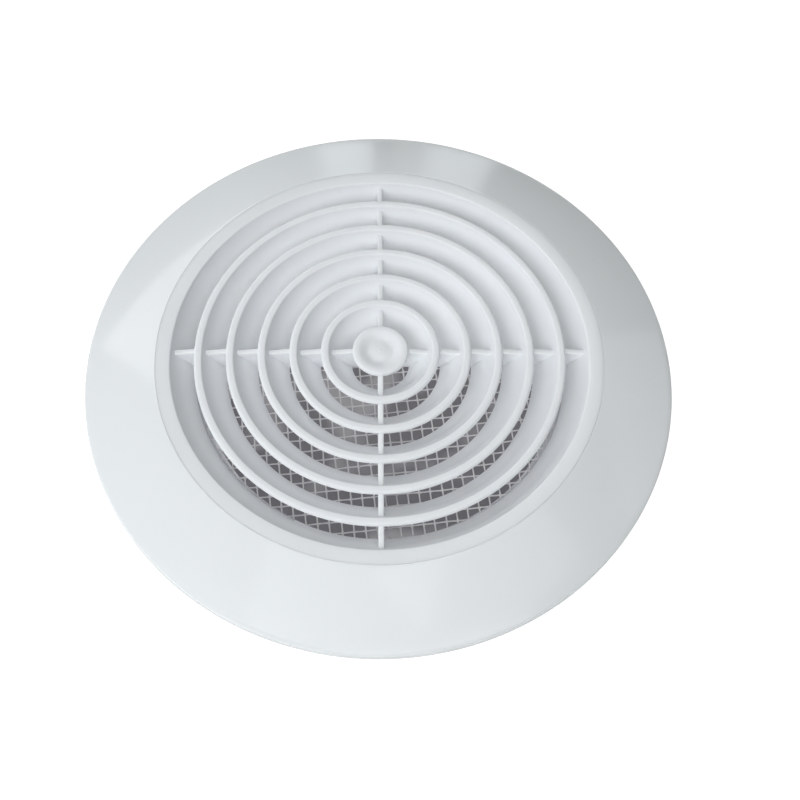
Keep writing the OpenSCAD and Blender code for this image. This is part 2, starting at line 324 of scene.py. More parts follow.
class Graph:
    """Builds the node tree of one material or world."""

    def __init__(self, owner, space=None):
        owner.use_nodes = True
        self.owner = owner
        self.tree = owner.node_tree
        self.tree.nodes.clear()
        if space:
            self.coords = self.node("ShaderNodeTexCoord", out=space)

    def feed(self, socket, value):
        """Links a socket, or sets a number, vector or RGB colour."""
        if isinstance(value, bpy.types.NodeSocket):
            self.tree.links.new(value, socket)
        elif isinstance(value, tuple) and len(socket.default_value) == 4:
            socket.default_value = value + (1,)
        else:
            socket.default_value = value

    def node(self, kind, inputs=None, out=0, **settings):
        """Adds a node and returns its output `out`."""
        node = self.tree.nodes.new(kind)
        for key, value in settings.items():
            setattr(node, key, value)
        for key, value in (inputs or {}).items():
            self.feed(node.inputs[key], value)
        return node.outputs[out]

    def noise(self, scale, detail=3.0, rough=0.5, warp=0.0, stretch=None):
        source = self.coords
        if stretch:
            source = self.node("ShaderNodeMapping", {"Vector": source, "Scale": stretch})
        return self.node("ShaderNodeTexNoise", {
            "Vector": source, "Scale": scale, "Detail": detail, "Roughness": rough,
            "Distortion": warp}, out="Fac")

    def cells(self, scale, out):
        return self.node("ShaderNodeTexVoronoi", {"Vector": self.coords, "Scale": scale},
                         out=out, feature="F1")

    def ramp(self, fac, stops):
        """stops: (position, grey or RGB colour)."""
        color = self.node("ShaderNodeValToRGB", {0: fac})
        elements = color.node.color_ramp.elements
        while len(elements) < len(stops):
            elements.new(0.5)
        for k, (position, value) in enumerate(stops):
            elements[k].position = position
            elements[k].color = (value if isinstance(value, tuple) else (value,) * 3) + (1,)
        return color

    def fade(self, fac, low, high, start=0.0, end=1.0):
        """Goes from start to end while fac goes from low to high."""
        return self.ramp(fac, [(low, start), (high, end)])

    def calc(self, operation, a, b=None, clamp=False):
        inputs = {0: a} if b is None else {0: a, 1: b}
        return self.node("ShaderNodeMath", inputs, operation=operation, use_clamp=clamp)

    def mix(self, fac, a, b):
        return self.node("ShaderNodeMix", {0: fac, 6: a, 7: b}, out=2, data_type="RGBA")

    def tint(self, base, color, mask, amount):
        """Lays a colour over the base where the mask is high."""
        return self.mix(self.calc("MULTIPLY", mask, amount), base, color)

    def bump(self, height, strength, distance, under=None):
        """Bump with its distance in metres, on top of the bump `under`."""
        inputs = {"Strength": strength, "Distance": distance, "Height": height}
        if under:
            inputs["Normal"] = under
        return self.node("ShaderNodeBump", inputs)

    def edges(self, width):
        """High on edges, 0 elsewhere, from a bevelled normal; width in metres."""
        bevel = self.node("ShaderNodeBevel", {"Radius": width}, samples=4)
        normal = self.node("ShaderNodeNewGeometry", out="Normal")
        match = self.node("ShaderNodeVectorMath", {0: bevel, 1: normal}, out="Value",
                          operation="DOT_PRODUCT")
        return self.calc("SUBTRACT", 1.0, match, clamp=True)

    def finish(self, shader, output="ShaderNodeOutputMaterial"):
        self.tree.links.new(shader, self.tree.nodes.new(output).inputs[0])
        return self.owner

    def principled(self, inputs):
        return self.finish(self.node("ShaderNodeBsdfPrincipled", inputs))


def new_material(name, space="Object"):
    return Graph(bpy.data.materials.new(name), space)


# ---------------------------------------------------------------- materials

def gloss_plastic():
    g = new_material("flange_gloss_white_plastic")
    base = g.mix(g.noise(scale=14), (0.772, 0.799, 0.820), (0.802, 0.823, 0.842))
    specks = g.fade(g.noise(scale=900, detail=2, rough=0.6), low=0.70, high=0.78)
    smears = g.noise(scale=55, detail=4, rough=0.55, warp=0.4, stretch=(1, 2.2, 1))
    # slow moulding waves, then a fine orange peel, then faint hairline scuffs
    waves = g.bump(g.noise(scale=28, detail=1.5, rough=0.4), strength=0.35, distance=0.00030)
    peel = g.bump(g.noise(scale=420, detail=2), strength=0.10, distance=0.00005, under=waves)
    scuffs = g.fade(g.noise(scale=160, rough=0.6, warp=1.5, stretch=(1, 14, 1)),
                    low=0.60, high=0.66)
    return g.principled({
        "Base Color": g.tint(base, (0.55, 0.56, 0.55), specks, amount=0.10),
        "Roughness": g.fade(smears, low=0.30, high=0.75, start=0.075, end=0.17),
        "IOR": 1.50,
        "Coat Weight": 0.25,
        "Coat Roughness": 0.05,
        "Normal": g.bump(scuffs, strength=0.04, distance=0.00002, under=peel)})


def satin_plastic(name, dark, light, rough, grain=0.10, painted_light_deep=None):
    """The lighter colour for well below the face is painted light that evens out the shade in the
    recesses; it also makes the plastic translucent.
    """
    g = new_material(name)
    base = g.mix(g.noise(scale=22, rough=0.55), dark, light)
    inputs = {}
    if painted_light_deep:
        height = g.node("ShaderNodeSeparateXYZ", {0: g.coords}, out=2)
        painted_light_mask = g.node("ShaderNodeMapRange", {
            "Value": height,
            "From Min": (FACE_Z - 1.4) * MM,
            "From Max": (FACE_Z - 5.5) * MM})
        # painted light: faces well below the face take the lighter colour, against the shade in
        # the recesses
        base = g.mix(painted_light_mask, base, painted_light_deep)
        inputs = {"Subsurface Weight": 0.6,
                  "Subsurface Radius": (1.0, 0.96, 0.93),
                  "Subsurface Scale": 0.0022}
    dirt = g.fade(g.noise(scale=260, detail=4, rough=0.6), low=0.62, high=0.80)
    fine = g.bump(g.noise(scale=1400, detail=2), strength=grain, distance=0.00004)
    return g.principled(inputs | {
        "Base Color": g.tint(base, (0.42, 0.40, 0.38), dirt, amount=0.05),
        "Roughness": g.fade(g.noise(scale=90, detail=4, rough=0.6),
                            low=0.3, high=0.75, start=rough[0], end=rough[1]),
        "IOR": 1.49,
        "Normal": g.bump(g.noise(scale=60, detail=2), strength=0.12, distance=0.00012,
                         under=fine)})


def thread():
    g = new_material("net_thread")
    base = g.mix(g.noise(scale=120, rough=0.6), (0.66, 0.63, 0.635), (0.86, 0.84, 0.845))
    fuzz = g.fade(g.noise(scale=46, rough=0.6), low=0.50, high=0.74)
    return g.principled({
        "Base Color": g.tint(base, (0.50, 0.46, 0.45), fuzz, amount=0.25),
        "Roughness": 0.55,
        "IOR": 1.45,
        "Normal": g.bump(g.noise(scale=2600, rough=0.6), strength=0.3, distance=0.00006)})


def rubber(name, dark, rough, grain):
    """grain: noise scale of the surface."""
    g = new_material(name)
    tone = g.noise(scale=70, detail=4, rough=0.6)
    base = g.mix(tone, dark, tuple(c * 1.9 + 0.01 for c in dark))
    dust = g.fade(g.noise(scale=340, rough=0.7), low=0.60, high=0.85)
    return g.principled({
        "Base Color": g.tint(base, (0.32, 0.31, 0.30), dust, amount=0.16),
        "Roughness": g.fade(tone, low=0.3, high=0.7, start=rough[0], end=rough[1]),
        "IOR": 1.5,
        "Normal": g.bump(g.noise(scale=grain, rough=0.6), strength=0.35, distance=0.00010)})


def foam():
    g = new_material("gasket_foam")
    cells = g.cells(scale=1500, out="Distance")
    base = g.mix(g.fade(cells, low=0.1, high=0.6), (0.030, 0.030, 0.032), (0.095, 0.095, 0.10))
    return g.principled({
        "Base Color": g.tint(base, (0.13, 0.13, 0.135), g.noise(scale=60, rough=0.6),
                             amount=0.35),
        "Roughness": 0.92,
        "Sheen Weight": 0.25,
        "Normal": g.bump(cells, strength=0.8, distance=0.00018)})


def steel(name, dark, light, rough, stretch=(1, 18, 1), spangle=False, bright_edges=True):
    """stretch: noise scale along X, Y and Z. spangle: crystal patches in place of noise."""
    g = new_material(name)
    if spangle:
        tone = g.node("ShaderNodeSeparateColor", {0: g.cells(scale=420, out="Color")})
    else:
        tone = g.noise(scale=300, detail=4, rough=0.6, stretch=stretch)
    stain = g.fade(g.noise(scale=130, detail=4, rough=0.65), low=0.52, high=0.80)
    base = g.tint(g.mix(tone, dark, light), (0.30, 0.28, 0.25), stain, amount=0.30)
    if bright_edges:
        mask = g.calc("MULTIPLY", g.edges(width=0.0003), 1.2, clamp=True)
        base = g.mix(mask, base, (0.86, 0.86, 0.87))
    return g.principled({
        "Base Color": base,
        "Metallic": 1.0,
        "Roughness": g.fade(g.noise(scale=520, detail=4, rough=0.6, stretch=stretch),
                            low=0.3, high=0.7, start=rough[0], end=rough[1]),
        "Normal": g.bump(g.noise(scale=900, rough=0.6, stretch=stretch),
                         strength=0.12, distance=0.00003)})


GLOSS = gloss_plastic()
# the core's faces well below its face are painted lighter: painted light against the shade in its
# recesses
SATIN = satin_plastic("core_satin_white_plastic", dark=(0.780, 0.798, 0.824),
                      light=(0.806, 0.822, 0.846), rough=(0.36, 0.50),
                      painted_light_deep=(0.902, 0.921, 0.947))
RING_PLASTIC = satin_plastic("clamp_ring_plastic", dark=(0.70, 0.71, 0.71),
                             light=(0.76, 0.77, 0.77), rough=(0.4, 0.6))
ARM_NYLON = satin_plastic("arm_filled_nylon", dark=(0.50, 0.51, 0.51),
                          light=(0.60, 0.61, 0.60), rough=(0.45, 0.65), grain=0.35)
THREAD = thread()
SEAL_RUBBER = rubber("seal_rubber", dark=(0.020, 0.020, 0.021), rough=(0.38, 0.60), grain=900)
FOOT_RUBBER = rubber("foot_rubber", dark=(0.052, 0.052, 0.055), rough=(0.50, 0.72), grain=1600)
FOAM = foam()
ZINC = steel("bracket_zinc_steel", dark=(0.55, 0.57, 0.60), light=(0.74, 0.76, 0.78),
             rough=(0.24, 0.42), spangle=True)
PIN_STEEL = steel("pin_turned_steel", dark=(0.52, 0.52, 0.54), light=(0.70, 0.70, 0.72),
                  rough=(0.16, 0.32), stretch=(1, 1, 30))
SPRING_STEEL = steel("spring_wire_steel", dark=(0.30, 0.30, 0.32), light=(0.46, 0.46, 0.48),
                     rough=(0.20, 0.38), stretch=(1, 1, 1), bright_edges=False)
CLIP_STEEL = steel("clip_black_steel", dark=(0.06, 0.06, 0.065), light=(0.13, 0.13, 0.14),
                   rough=(0.30, 0.48))
SCREW_STEEL = steel("screw_zinc_steel", dark=(0.62, 0.60, 0.52), light=(0.78, 0.76, 0.68),
                    rough=(0.20, 0.36))

# ---------------------------------------------------------------- flange frame

FACE_RUN = RIM_R - 0.7 - CUP_R      # from the cup to the rim, along the face
FACE_SLOPE = math.tan(math.radians(18))
FACE_CROWN = (FACE_Z - RIM_H - 0.3 - FACE_SLOPE * FACE_RUN) / FACE_RUN ** 2
SKIRT_IN = RIM_R - 10.2             # inner wall behind the gasket land
GROOVE_R = SPIGOT_R - 0.9           # groove for the duct seal
GROOVE_HALF = 1.6
RIB_COUNT = 12
RIB_HALF = 0.7
RIB_IN = CUP_OUT - 1.0
RIB_OUT = RIM_R - 9.6
RIB_BOTTOM = 1.2
BOSS_X = PIVOT_R - 0.6              # two screw bosses over each leg
BOSS_Y = 8.8


def face_z(r):
    return FACE_Z - FACE_SLOPE * (r - CUP_R) - FACE_CROWN * (r - CUP_R) ** 2


def at_bosses(radius, z0, z1, seg):
    return [moved(cylinder(radius, z0, z1, seg, BOSS_X, side * BOSS_Y), about_z(a))
            for a in LEG_ANGLES for side in (-1, 1)]


def build_flange():
    top = [(r, face_z(r)) for r in np.linspace(CUP_R + 0.7, RIM_R - 1.9, 40)]
    under = [(r, face_z(r) - FLANGE_T) for r in np.linspace(RIM_R - 11.2, CUP_OUT + 1.2, 16)]
    outline = [     # r, z, fillet radius
        (CUP_R - 0.05, SHELF_Z, 0.3),
        (CUP_R - 0.05, FACE_Z - 0.01, 0.05),
        *top,
        # rim and gasket land
        (RIM_R, face_z(RIM_R), 1.35), (RIM_R, 0.0, 0.3),
        (RIM_R - 1.8, 0.0, 0.3), (RIM_R - 1.8, LAND_Z, 0.15),
        (RIM_R - 8.7, LAND_Z, 0.15), (RIM_R - 8.7, 0.3, 0.3),
        (SKIRT_IN, 0.3, 0.3), (SKIRT_IN, face_z(SKIRT_IN) - FLANGE_T, 0.5),
        *under,
        # cup and shelf
        (CUP_OUT, face_z(CUP_OUT) - FLANGE_T - 0.1, 0.8), (CUP_OUT, SHELF_BACK, 0.8),
        # spigot, down the outside with its groove and up the inside
        (SPIGOT_R, SHELF_BACK, 0.9),
        (SPIGOT_R, SEAL_Z + GROOVE_HALF, 0.12), (GROOVE_R, SEAL_Z + GROOVE_HALF, 0.12),
        (GROOVE_R, SEAL_Z - GROOVE_HALF, 0.12), (SPIGOT_R, SEAL_Z - GROOVE_HALF, 0.12),
        (SPIGOT_R, -SPIGOT_LEN, 0.8), (SPIGOT_RI, -SPIGOT_LEN, 0.5),
        (SPIGOT_RI, SHELF_Z - 2.9, 3.0), (SPIGOT_RI + 1.25, SHELF_Z, 0.25),
    ]
    ob = new_object("flange_shell", lathe(rounded(outline), seg=320))
    rib = prism([(RIB_IN, RIB_BOTTOM), (RIB_OUT, RIB_BOTTOM),
                 (RIB_OUT, face_z(RIB_OUT) - 1.1), (RIB_IN, face_z(RIB_IN) - 1.3)],
                -RIB_HALF, RIB_HALF)
    ribs = [moved(rib, about_z((i + 0.5) * math.pi / 6)) for i in range(RIB_COUNT)]
    unite(ob, *ribs, *at_bosses(3.0, PLATE_TOP, SHELF_BACK + 0.7, seg=48))
    cut(ob, *at_bosses(1.45, PLATE_TOP - 1, PLATE_TOP + 5.2, seg=32))      # screw holes
    tidy(ob)
    shade(ob, 30)
    register(ob, GLOSS, "flange_frame", "frame")


# ---------------------------------------------------------------- louvre core

HUB_R = 9.4
HUB_ROUND = 0.9         # rounding of the hub's front edge
SPOKE_HALF = 1.8 / 2
SPOKE_DROP = 0.8        # spokes below the face, at the inner end of each gap
SPOKE_FALL = 1.2        # further drop at the outer end of the gap
LIP_ROUND = 0.6
EDGE_ROUND = 1.0


def ring_r(k):
    """Outer radius of louvre k at the front."""
    return RING_R + RING_PITCH * k


def rear_r(k):
    """Inner radius of louvre k at the back."""
    return RING_R + RING_PITCH * (k - 1) + 0.1 + 0.11 * k


def bezier(t, a, b, c):
    return (1 - t) ** 2 * a + 2 * t * (1 - t) * b + t * t * c


def inner_face(outer_r, k):
    """Rounded front lip, then the curve back and inwards, without the curve's ends."""
    lip = outer_r - LIP_W
    curve = [(bezier(t, lip, lip - 3.3, rear_r(k)),
              FACE_Z + bezier(t, -0.6, -0.55 * CORE_DEPTH, -CORE_DEPTH))
             for t in np.linspace(0, 1, 20)[1:-1]]
    return arc(lip + LIP_ROUND, FACE_Z - LIP_ROUND, LIP_ROUND, 90, 178, 6) + curve


def blade(k):
    outer = ring_r(k)
    rear = rear_r(k)
    outline = arc(outer - EDGE_ROUND, FACE_Z - EDGE_ROUND, EDGE_ROUND, -8, 90, 9)
    outline += inner_face(outer, k)
    outline += [(rear, CORE_BACK, 0.3), (rear + 2.4, CORE_BACK, 0.4),
                (outer - 1.25, FACE_Z - 2.7, 0.9)]
    return lathe(rounded(outline), seg=192 if k < 2 else 288)


def outer_band():
    edge = BAND_R + 0.06
    outline = [(edge, FACE_Z - 0.01, 0.05)]
    outline += inner_face(BAND_R - BAND_W + LIP_W, RING_COUNT)
    outline += [(rear_r(RING_COUNT), CORE_BACK, 0.25), (66.6, CORE_BACK, 0.25),
                (66.6, CORE_BACK + 1.6, 0.5), (71.3, FACE_Z - 2.3, 0.5),
                (72.9, FACE_Z - 2.3, 0.4), (72.9, SHELF_Z + 0.05, 0.2),
                (edge, SHELF_Z + 0.05, 0.5)]
    return lathe(rounded(outline), seg=320)


def smoothstep(x):
    x = max(0.0, min(1.0, x))
    return x * x * (3 - 2 * x)


def dish_depth(r):
    """Shallow dish, raised a little towards the middle, with a small gate mark on the axis."""
    dish = 1.12 * smoothstep((7.8 - r) / 3.9)
    rise = 0.28 * smoothstep((4.0 - r) / 3.0)
    gate = 0.14 * math.exp(-(r / 0.5) ** 2)
    return dish - rise - gate


def hub():
    outline = [(0.0, FACE_Z - 2.9), (7.6, FACE_Z - 2.9, 0.5), (HUB_R, FACE_Z - 1.6, 0.3)]
    outline += arc(HUB_R - HUB_ROUND, FACE_Z - HUB_ROUND, HUB_ROUND, 0, 90, 8)
    outline += [(r, FACE_Z - dish_depth(r)) for r in np.linspace(7.9, 0.0, 36)]
    return lathe(rounded(outline), seg=128)


def cross_bar():
    """Bar along X through the hub; its ends slope outwards towards the back."""
    high = FACE_Z - SPOKE_DROP
    edge = [(HUB_R - 2.2, FACE_Z - 2.2)]        # x, z of the front edge
    for k in range(RING_COUNT + 1):
        edge.append((HUB_R - 0.9 if k == 0 else ring_r(k - 1) - 1, high))
        gap_end = ring_r(k) - LIP_W if k < RING_COUNT else BAND_R - BAND_W - 0.15
        edge.append((gap_end, high - SPOKE_FALL))
    line = [(-x, z) for x, z in reversed(edge)] + edge
    back_end = rear_r(RING_COUNT) + 1.0
    verts = []
    for j, (x, top) in enumerate(line):
        section = rounded([(-SPOKE_HALF - 0.06, CORE_BACK), (SPOKE_HALF + 0.06, CORE_BACK),
                           (SPOKE_HALF, top, 0.38), (-SPOKE_HALF, top, 0.38)])
        for y, z in section:
            place = x
            if j in (0, len(line) - 1):
                low = min(1.0, (top - z) / (top - CORE_BACK))
                place = math.copysign(abs(x) * (1 - low) + back_end * low, x)
            verts.append((place, y, z))
    return verts, skin(len(line), len(section))


def build_core():
    parts = [blade(k) for k in range(RING_COUNT)] + [outer_band(), hub()]
    ob = new_object("louvre_core_moulding", merged(parts))
    cross = new_object("cross", cross_bar())
    unite(cross, moved(cross_bar(), about_z(math.pi / 2)))
    boolean(ob, cross, "UNION")
    # six pairs of slots in the foot of the band
    slot = box(72.0, 76.0, 0.4, SHELF_Z - 1, SHELF_Z + 5)
    cut(ob, *[moved(slot, about_z(math.radians(60 * i + 15 + 4.5 * side)))
              for i in range(6) for side in (-1, 1)])
    tidy(ob)
    shade(ob, 30)
    register(ob, SATIN, "louvre_core", "core")


# ---------------------------------------------------------------- insect net

NET_R = 66.3
NET_Z = CORE_BACK - 0.31
NET_PITCH = 3.7
NET_ANGLE = math.radians(6.0)
NET_STEPS = 4           # thread sections per mesh
THREAD_SIDES = 6
THREAD_HALF_W = 0.25
THREAD_HALF_H = 0.135
CROSSING_SPREAD = 0.11  # extra half width where threads cross
WEAVE = 0.10            # rise and fall at the crossings


def build_net():
    count = int(NET_R // NET_PITCH)
    rows = range(-count, count + 1)
    shifts = {(d, i): rng.normal(0, 0.06) for d in (0, 1) for i in rows}
    verts, faces = [], []
    for d, i in shifts:         # d: 0 runs along X, 1 along Y
        centre = i * NET_PITCH + shifts[(d, i)]
        half = math.sqrt(max(NET_R * NET_R - (abs(centre) + 0.3) ** 2, 1))
        reach = int(half * NET_STEPS / NET_PITCH)
        stations = [k * NET_PITCH / NET_STEPS for k in range(-reach, reach + 1)]
        stations = [-half] + [t for t in stations if abs(t) < half - 0.3] + [half]
        phase = rng.uniform(0, 6.28, 2)
        base = len(verts)
        for t in stations:
            sway = 0.10 * math.sin(t / 9.0 + phase[0])
            side = centre + sway + 0.05 * math.sin(t / 3.1 + phase[1])
            q = t / NET_PITCH
            near = math.exp(-((q - round(q)) * NET_PITCH / 0.55) ** 2)
            z = NET_Z + WEAVE * math.cos(math.pi * q) * (1 if (i + d) % 2 == 0 else -1)
            half_w = THREAD_HALF_W + CROSSING_SPREAD * near
            for s in range(THREAD_SIDES):
                a = 2 * math.pi * s / THREAD_SIDES
                across = side + half_w * math.cos(a)
                height = z + THREAD_HALF_H * math.sin(a)
                verts.append((t, across, height) if d == 0 else (across, t, height))
        n = THREAD_SIDES
        last = base + (len(stations) - 1) * n
        tube = []
        for row in range(base, last, n):
            for s in range(n):
                p, q = row + s, row + (s + 1) % n
                tube.append((p, q, q + n, p + n))
        tube.append(tuple(range(base + n - 1, base - 1, -1)))
        tube.append(tuple(range(last, last + n)))
        faces += tube if d == 1 else [face[::-1] for face in tube]
    ob = new_object("insect_net_threads", moved((verts, faces), about_z(NET_ANGLE)), sharp=None)
    fix_normals(ob)
    register(ob, THREAD, "insect_screen", "core")


# ---------------------------------------------------------------- rings behind the face

CLAMP_OUTLINE = [       # r, height above the back of the core, fillet radius
    (63.2, -2.5, 0.3), (63.2, -0.58, 0.3), (66.7, -0.58, 0.1),
    (66.7, 1.5, 0.25), (68.2, 1.5, 0.3), (68.2, -2.5, 0.4)]
GASKET_OUTLINE = [      # r, z, fillet radius
    (RIM_R - 8.5, 0.02, 0.5), (RIM_R - 8.5, LAND_Z, 0.1),
    (RIM_R - 2.0, LAND_Z, 0.1), (RIM_R - 2.0, 0.02, 0.5)]
SEAL_OUTLINE = [        # out from the spigot, height above SEAL_Z, fillet radius
    (-0.9, -1.5, 0.1), (-0.9, 1.5, 0.1), (0.1, 1.5, 0.12), (0.2, 0.95, 0.15),
    (1.1, 1.55, 0.12), (1.2, 1.25, 0.12), (0.35, 0.5, 0.2), (0.2, -0.4, 0.2),
    (1.1, 0.2, 0.12), (1.2, -0.1, 0.12), (0.35, -0.85, 0.2), (0.1, -1.5, 0.12)]


def build_ring(name, outline, material, node, body, r=0.0, z=0.0):
    """Ring with its outline shifted by r and z."""
    outline = [(r + out, z + up, fillet) for out, up, fillet in outline]
    ob = new_object(name, lathe(rounded(outline, steps=4), seg=256))
    fix_normals(ob)
    shade(ob, 35)
    register(ob, material, node, body)


build_flange()
build_core()
build_net()
build_ring("screen_clamp_ring_moulding", CLAMP_OUTLINE, RING_PLASTIC,
           "screen_clamp_ring", "core", z=CORE_BACK)
build_ring("ceiling_gasket_foam", GASKET_OUTLINE, FOAM,
           "ceiling_gasket", "frame")
build_ring("duct_lip_seal", SEAL_OUTLINE, SEAL_RUBBER,
           "duct_seal", "frame", r=SPIGOT_R, z=SEAL_Z)


# ---------------------------------------------------------------- CAD pieces that are kept

def dress(node, material, bevel):
    """Material and a small bevel (mm) for a CAD piece."""
    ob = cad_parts[node]
    give(ob, material)
    weld = ob.modifiers.new("weld", "WELD")
    weld.merge_threshold = 0.00001
    edge = ob.modifiers.new("bevel", "BEVEL")
    edge.width = bevel * MM
    edge.segments = 2
    edge.limit_method = "ANGLE"
    edge.angle_limit = math.radians(35)
    edge.harden_normals = False
    edge.use_clamp_overlap = True


for leg in (1, 2, 3):
    dress(f"leg_{leg}_bracket", ZINC, bevel=0.22)
    dress(f"leg_{leg}_arm", ARM_NYLON, bevel=0.22)
    dress(f"leg_{leg}_pivot_pin", PIN_STEEL, bevel=0.15)
dress("pivot_pin_clips", CLIP_STEEL, bevel=0.06)
dress("bracket_screws", SCREW_STEEL, bevel=0.06)


# ---------------------------------------------------------------- rubber feet and springs
# Built about the pivot: X points outwards along the arm, Y along the pin.

BOOT_HALF = 5.1         # half width of the boot, and of its pocket for the arm
POCKET_HALF = 4.2
BOOT_MOUTH = ARM_LEN - 4.0
RIB_WAVE = 0.07

WIRE_R = 0.4
COIL_R = 2.4
COIL_HALF = 1.85        # half length of the coil
COIL_TURNS = 4
TAIL_RUN = 10.6         # tail along the arm, with a hooked end
TAIL_BEND = 0.8
WIRE_SIDES = 12


def at_pivot(angle, tilt=0.0):
    pivot = Vector((PIVOT_R * math.cos(angle), PIVOT_R * math.sin(angle), PIVOT_Z))
    return (Matrix.Translation(pivot) @ Matrix.Rotation(angle, 4, "Z")
            @ Matrix.Rotation(-tilt, 4, "Y"))


def round_caps(bm):
    caps = [e for e in bm.edges if any(len(f.verts) > 8 for f in e.link_faces)]
    bmesh.ops.bevel(bm, geom=caps, offset=0.55 * MM, segments=4, profile=0.6,
                    affect="EDGES", clamp_overlap=True)


def build_foot(leg, angle):
    """Ribbed rubber boot pulled over the end of the arm."""
    outline = []        # x, z
    for j in range(49):
        a = math.radians(-152 + 304 * j / 48)
        r = FOOT_R - RIB_WAVE + RIB_WAVE * math.cos(12 * a)
        outline.append((ARM_LEN + r * math.cos(a), r * math.sin(a)))
    outline += [
        (ARM_LEN - 3.6, FOOT_R - 0.45), (BOOT_MOUTH, FOOT_R - 0.9), (BOOT_MOUTH, ARM_T / 2),
        (ARM_LEN - 3.99, -ARM_T / 2), (BOOT_MOUTH, -FOOT_R + 0.9),
        (ARM_LEN - 3.6, -FOOT_R + 0.45)]
    ob = new_object(f"leg_{leg}_rubber_boot", prism(outline, -BOOT_HALF, BOOT_HALF))
    fix_normals(ob)
    edit(ob, round_caps)
    cut(ob, box(ARM_LEN - 6, ARM_LEN - 0.4, POCKET_HALF, -ARM_T / 2, ARM_T / 2))
    place = at_pivot(angle, REST_ANGLE)
    for v in ob.data.vertices:
        v.co = (place @ (v.co / MM)) * MM
    ob.data.update()
    tidy(ob, gap=0.002)
    shade(ob, 40)
    register(ob, FOOT_RUBBER, f"leg_{leg}_foot", f"leg_{leg}")


def spring_path():
    """Centre line as (x, y, z, angle of the section about Y)."""
    top = PLATE_BOTTOM - PIVOT_Z - WIRE_R
    path = [(COIL_R, -COIL_HALF, top * (1 - j / 6), 0.0) for j in range(6)]
    total = 360 * COIL_TURNS - math.degrees(REST_ANGLE) - 90.0
    steps = 44 * COIL_TURNS
    for i in range(steps + 1):
        a = -math.radians(total) * i / steps
        y = -COIL_HALF + 2 * COIL_HALF * i / steps
        path.append((COIL_R * math.cos(a), y, COIL_R * math.sin(a), a))

    def add_tail(along, above, section):
        """Adds a point given along and above the arm."""
        c, s = math.cos(REST_ANGLE), math.sin(REST_ANGLE)
        path.append((along * c - above * s, COIL_HALF, along * s + above * c, section))

    end = REST_ANGLE + math.pi / 2 - 2 * math.pi * COIL_TURNS
    straight = TAIL_RUN - TAIL_BEND
    for j in range(1, 7):
        add_tail(straight * j / 7, COIL_R, end)
    for j in range(9):
        a = math.radians(90 * j / 8)
        add_tail(straight + TAIL_BEND * math.sin(a),
                 COIL_R - TAIL_BEND + TAIL_BEND * math.cos(a), end - a)
    add_tail(TAIL_RUN, -ARM_T / 2 - 0.55, end - math.pi / 2)
    return path


def build_spring(leg, angle):
    """Torsion spring, built at rest; on the real vent it winds up as the arm folds."""
    n = WIRE_SIDES
    verts, faces = [], []
    for x, y, z, section in spring_path():
        for j in range(n):
            a = 2 * math.pi * j / n
            out = WIRE_R * math.cos(a)
            verts.append((x + out * math.cos(section), y + WIRE_R * math.sin(a),
                          z + out * math.sin(section)))
    last = len(verts) - n
    for row in range(0, last, n):
        for j in range(n):
            p, q = row + j, row + (j + 1) % n
            faces.append((p, p + n, q + n, q))
    faces.append(tuple(range(n)))
    faces.append(tuple(range(last + n - 1, last - 1, -1)))
    place = at_pivot(angle)
    ob = new_object(f"leg_{leg}_torsion_spring", moved((verts, faces), place), sharp=60)
    fix_normals(ob)
    register(ob, SPRING_STEEL, f"leg_{leg}_spring")
    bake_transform(ob)


for leg, angle in enumerate(LEG_ANGLES, 1):
    build_foot(leg, angle)
    build_spring(leg, angle)


# ---------------------------------------------------------------- stage (metres)

def stage_face(name, outline, z, material):
    """One flat face at height z, from (x, y) points."""
    mesh = bpy.data.meshes.new(name)
    mesh.from_pydata([(x, y, z) for x, y in outline], [], [tuple(range(len(outline)))])
    mesh.update()
    ob = bpy.data.objects.new(name, mesh)
    bpy.context.scene.collection.objects.link(ob)
    mesh.materials.append(material)


def one_sided(g, shader):
    """Seen only from above, so that views from below look through it."""
    backfacing = g.node("ShaderNodeNewGeometry", out="Backfacing")
    clear = g.node("ShaderNodeBsdfTransparent")
    return g.finish(g.node("ShaderNodeMixShader", {0: backfacing, 1: shader, 2: clear}))


def camera_ray(g):
    return g.node("ShaderNodeLightPath", out="Is Camera Ray")


def glowing(g, color, light, strength):
    """Diffuse surface that also gives off light."""
    diffuse = g.node("ShaderNodeBsdfDiffuse", {"Color": color})
    glow = g.node("ShaderNodeEmission", {"Color": light, "Strength": strength})
    return g.node("ShaderNodeAddShader", {0: diffuse, 1: glow})


def floor_material():
    """Near white to the camera, plain pale grey to the light that bounces off it."""
    g = new_material("pale_floor", space=None)
    seen = glowing(g, color=(0.26,) * 3, light=(1, 1, 1), strength=0.92)
    bounced = g.node("ShaderNodeBsdfDiffuse", {"Color": (0.85,) * 3})
    return one_sided(g, g.node("ShaderNodeMixShader", {0: camera_ray(g), 1: bounced, 2: seen}))


def void_material():
    """Painted shade and light: a dim grey sheet with paler painted patches stands for the shaded
    space behind the net; to bounced rays it glows five times as bright, a painted stand-in for
    light bounced up from below.
    """
    g = new_material("dim_void")
    patches = g.fade(g.noise(scale=42, detail=2), low=0.53, high=0.66,
                     start=(0.062, 0.061, 0.066), end=(0.185, 0.184, 0.190))
    strength = g.node("ShaderNodeMapRange",
                      {"Value": camera_ray(g), "To Min": 5.0, "To Max": 1.0})
    return one_sided(g, glowing(g, color=(0.20, 0.19, 0.195), light=patches, strength=strength))


FLOOR_HALF = 3
VOID_R = (SPIGOT_RI - 0.2) * MM
VOID_SIDES = 96
stage_face("floor", [(x * FLOOR_HALF, y * FLOOR_HALF)
                     for x, y in ((-1, -1), (1, -1), (1, 1), (-1, 1))],
           cad_lo.z - 0.0005, floor_material())
turns = [2 * math.pi * k / VOID_SIDES for k in range(VOID_SIDES)]
# painted shade: dim sheet at the foot of the spigot, which also glows as painted bounce light
stage_face("void_disc", [(VOID_R * math.cos(a), VOID_R * math.sin(a)) for a in turns],
           cad_lo.z + 0.0002, void_material())

# ---------------------------------------------------------------- lamps and world

